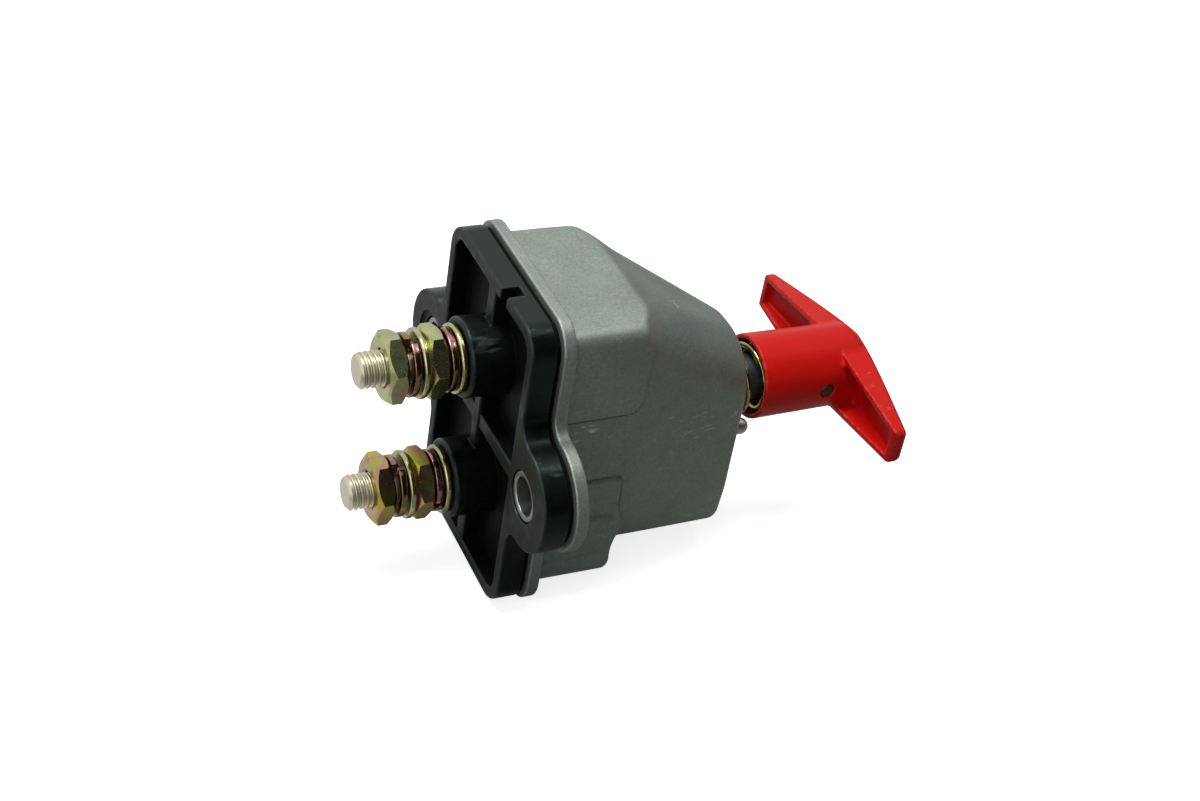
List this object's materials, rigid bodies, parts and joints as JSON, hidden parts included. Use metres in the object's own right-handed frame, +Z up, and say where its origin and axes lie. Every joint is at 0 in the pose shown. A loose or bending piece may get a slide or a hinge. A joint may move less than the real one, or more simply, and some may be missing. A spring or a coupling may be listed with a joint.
{
  "type": "battery isolating switch",
  "caption": "Battery isolating switch: cast housing with a sloping nose on a black base with bolt ears, threaded terminal studs with nuts, and a red T-handle on a sprung shaft.",
  "frame": {"origin": "on the handle's axis, in the plane of the base's rear rim, midway between the ears", "axes": "+Y along the handle's axis towards the terminal studs, +Z up through the upper stud, X along the line of the ears"},
  "size_m": [0.102, 0.1542, 0.0932],
  "materials": {
    "cast_aluminium": "die-cast and tumbled to a satin grey",
    "black_plastic": "glass-filled moulding with a low sheen",
    "red_plastic": "injection moulding with a soft gloss",
    "yellow_zinc": "zinc plate with yellow chromate",
    "plated_copper": "tinned copper alloy, warm silver",
    "bright_steel": "bright zinc plate",
    "dark_steel": "hardened and oiled",
    "shaft_steel": "ground and zinc plated",
    "rubber": "nitrile rubber",
    "bronze": "sintered and oil filled",
    "copper": "half-hard copper bar",
    "insulator": "phenolic moulding"
  },
  "bodies": {
    "switch_body": {"housing": "cast_aluminium", "base": "black_plastic", "gasket": "rubber", "shaft_seal": "rubber", "ear_sleeve_left": "bright_steel", "ear_sleeve_right": "bright_steel", "cam_dowel": "bright_steel", "spring_seat": "bright_steel", "stud_upper": "plated_copper", "stud_lower": "plated_copper", "flat_washer_inner_upper": "yellow_zinc", "lock_washer_inner_upper": "yellow_zinc", "nut_inner_upper": "yellow_zinc", "flat_washer_outer_upper": "yellow_zinc", "lock_washer_outer_upper": "yellow_zinc", "nut_outer_upper": "yellow_zinc", "flat_washer_inner_lower": "yellow_zinc", "lock_washer_inner_lower": "yellow_zinc", "nut_inner_lower": "yellow_zinc", "flat_washer_outer_lower": "yellow_zinc", "lock_washer_outer_lower": "yellow_zinc", "nut_outer_lower": "yellow_zinc", "return_spring": "yellow_zinc", "cam_ring": "dark_steel", "shaft_bush": "bronze"},
    "bridge_body": {"bridge_carrier": "insulator", "contact_bridge": "copper", "contact_spring": "bright_steel"},
    "handle_body": {"t_handle": "red_plastic", "handle_pin": "dark_steel", "shaft": "shaft_steel", "cam_pin": "dark_steel", "carrier_clip": "dark_steel"}
  },
  "joints": [
    {"name": "contact_stroke", "type": "slide", "parent": "switch_body", "child": "bridge_body", "axis": [0, 1, 0], "range_m": [0, 0.005], "deforming": ["return_spring"]},
    {"name": "handle_turn", "type": "hinge", "parent": "bridge_body", "child": "handle_body", "pos_m": [0, -0.1, 0], "axis": [0, 1, 0], "range_deg": [0, 90]}
  ],
  "couplings": [
    {"joint": "handle_turn", "follows": "contact_stroke", "rad_per_m": 314.15}
  ]
}
